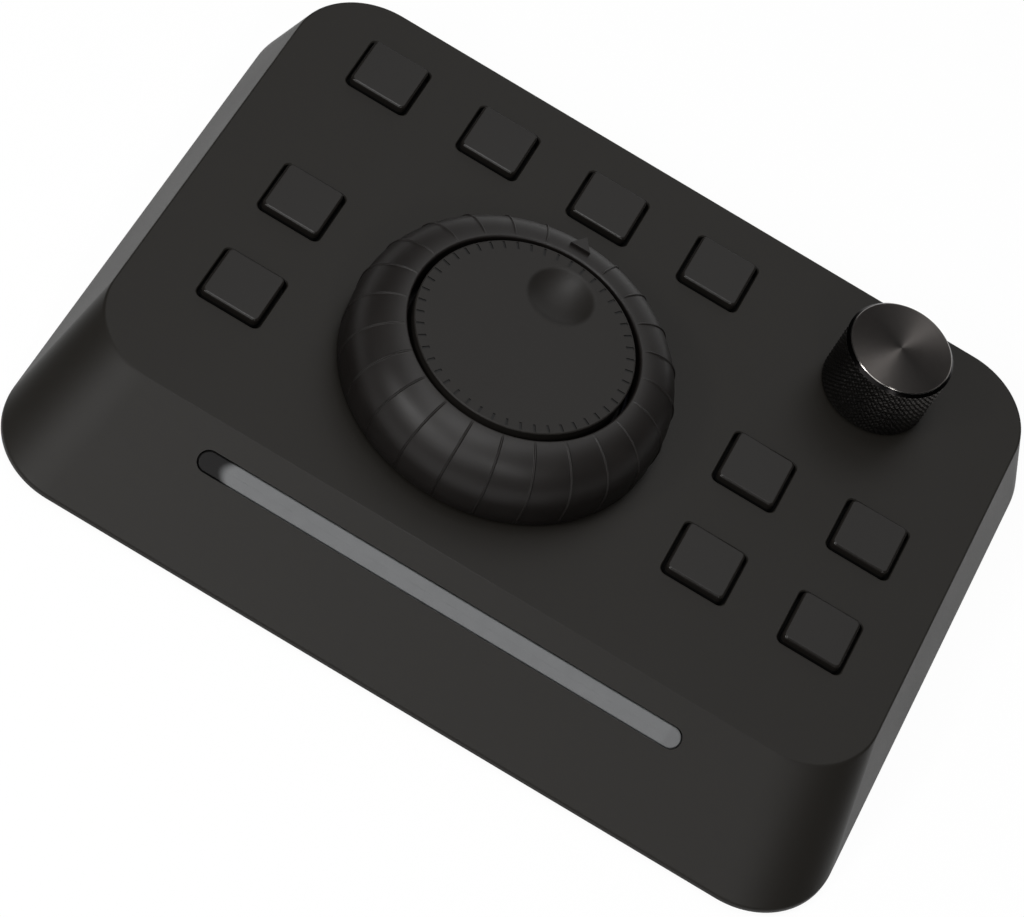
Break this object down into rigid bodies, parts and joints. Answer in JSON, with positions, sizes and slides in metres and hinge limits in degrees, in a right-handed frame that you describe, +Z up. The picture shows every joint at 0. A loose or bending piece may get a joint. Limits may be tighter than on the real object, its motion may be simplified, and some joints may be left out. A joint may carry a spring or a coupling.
{
  "type": "video editing controller",
  "caption": "Low wedge-fronted desk controller with square push keys, a jog dial inside a sprung shuttle ring, a turning knob and a light bar on its front slope.",
  "frame": {"origin": "middle of the base outline, on the surface under the rubber feet", "axes": "+X along the long side to the knob's side, +Y to the back edge with the socket, +Z up"},
  "size_m": [0.1802, 0.1414, 0.0331],
  "materials": {
    "housing_plastic": "soft-touch moulded, charcoal black",
    "cover_plastic": "fine moulded texture",
    "foot_rubber": "matte",
    "steel": "plain bright",
    "circuit_board": "satin solder mask",
    "component_plastic": "moulded",
    "diffuser": "frosted translucent",
    "lamp_plastic": "clear over phosphor",
    "brass_parts": "turned",
    "dial_plastic": "fine matte",
    "hub_plastic": "moulded",
    "grip_rubber": "soft matte",
    "magnet": "plain",
    "knob_metal": "black anodised, knurled side, spun face",
    "key_plastic": "soft matte"
  },
  "bodies": {
    "housing": {"top_shell": "housing_plastic", "bottom_cover": "cover_plastic", "rubber_feet": "foot_rubber", "cover_screws": "steel", "main_board": "circuit_board", "board_screws": "steel", "board_chips": "component_plastic", "usb_socket": "steel", "key_switches": "component_plastic", "light_bar": "diffuser", "light_board": "circuit_board", "bar_lamps": "lamp_plastic", "wheel_spindle": "brass_parts", "spindle_nut": "brass_parts", "hub_clip": "steel", "jog_bushes": "brass_parts", "jog_sensor": "component_plastic", "shuttle_sensor": "circuit_board", "encoder_body": "component_plastic", "encoder_washer": "steel", "encoder_nut": "brass_parts"},
    "jog": {"jog_dial": "dial_plastic", "jog_shaft": "steel", "jog_clip": "steel", "jog_magnet": "magnet"},
    "shuttle": {"shuttle_hub": "hub_plastic", "shuttle_grip": "grip_rubber", "shuttle_stop_pin": "steel", "shuttle_magnet": "magnet", "shuttle_spring": "steel"},
    "knob": {"control_knob": "knob_metal", "encoder_shaft": "steel"},
    "key_back_1": {"key_back_1": "key_plastic"},
    "key_back_2": {"key_back_2": "key_plastic"},
    "key_back_3": {"key_back_3": "key_plastic"},
    "key_back_4": {"key_back_4": "key_plastic"},
    "key_left_1": {"key_left_1": "key_plastic"},
    "key_left_2": {"key_left_2": "key_plastic"},
    "key_right_1": {"key_right_1": "key_plastic"},
    "key_right_2": {"key_right_2": "key_plastic"},
    "key_right_3": {"key_right_3": "key_plastic"},
    "key_right_4": {"key_right_4": "key_plastic"}
  },
  "joints": [
    {"name": "shuttle_turn", "type": "hinge", "parent": "housing", "child": "shuttle", "pos_m": [-0.01171, -0.00384, 0.0173], "axis": [0, 0, 1], "range_deg": [-70, 70], "stiffness_Nm_per_rad": 0.04, "deforming": ["shuttle_spring"]},
    {"name": "jog_turn", "type": "hinge", "parent": "housing", "child": "jog", "pos_m": [-0.01171, -0.00384, 0.0173], "axis": [0, 0, 1], "continuous": true},
    {"name": "knob_turn", "type": "hinge", "parent": "housing", "child": "knob", "pos_m": [0.05296, 0.0434, 0.0173], "axis": [0, 0, 1], "continuous": true},
    {"name": "key_back_1_press", "type": "slide", "parent": "housing", "child": "key_back_1", "axis": [0, 0, -1], "range_m": [0, 0.0012], "stiffness_N_per_m": 400, "springref_m": -0.001},
    {"name": "key_back_2_press", "type": "slide", "parent": "housing", "child": "key_back_2", "axis": [0, 0, -1], "range_m": [0, 0.0012], "stiffness_N_per_m": 400, "springref_m": -0.001},
    {"name": "key_back_3_press", "type": "slide", "parent": "housing", "child": "key_back_3", "axis": [0, 0, -1], "range_m": [0, 0.0012], "stiffness_N_per_m": 400, "springref_m": -0.001},
    {"name": "key_back_4_press", "type": "slide", "parent": "housing", "child": "key_back_4", "axis": [0, 0, -1], "range_m": [0, 0.0012], "stiffness_N_per_m": 400, "springref_m": -0.001},
    {"name": "key_left_1_press", "type": "slide", "parent": "housing", "child": "key_left_1", "axis": [0, 0, -1], "range_m": [0, 0.0012], "stiffness_N_per_m": 400, "springref_m": -0.001},
    {"name": "key_left_2_press", "type": "slide", "parent": "housing", "child": "key_left_2", "axis": [0, 0, -1], "range_m": [0, 0.0012], "stiffness_N_per_m": 400, "springref_m": -0.001},
    {"name": "key_right_1_press", "type": "slide", "parent": "housing", "child": "key_right_1", "axis": [0, 0, -1], "range_m": [0, 0.0012], "stiffness_N_per_m": 400, "springref_m": -0.001},
    {"name": "key_right_2_press", "type": "slide", "parent": "housing", "child": "key_right_2", "axis": [0, 0, -1], "range_m": [0, 0.0012], "stiffness_N_per_m": 400, "springref_m": -0.001},
    {"name": "key_right_3_press", "type": "slide", "parent": "housing", "child": "key_right_3", "axis": [0, 0, -1], "range_m": [0, 0.0012], "stiffness_N_per_m": 400, "springref_m": -0.001},
    {"name": "key_right_4_press", "type": "slide", "parent": "housing", "child": "key_right_4", "axis": [0, 0, -1], "range_m": [0, 0.0012], "stiffness_N_per_m": 400, "springref_m": -0.001}
  ]
}
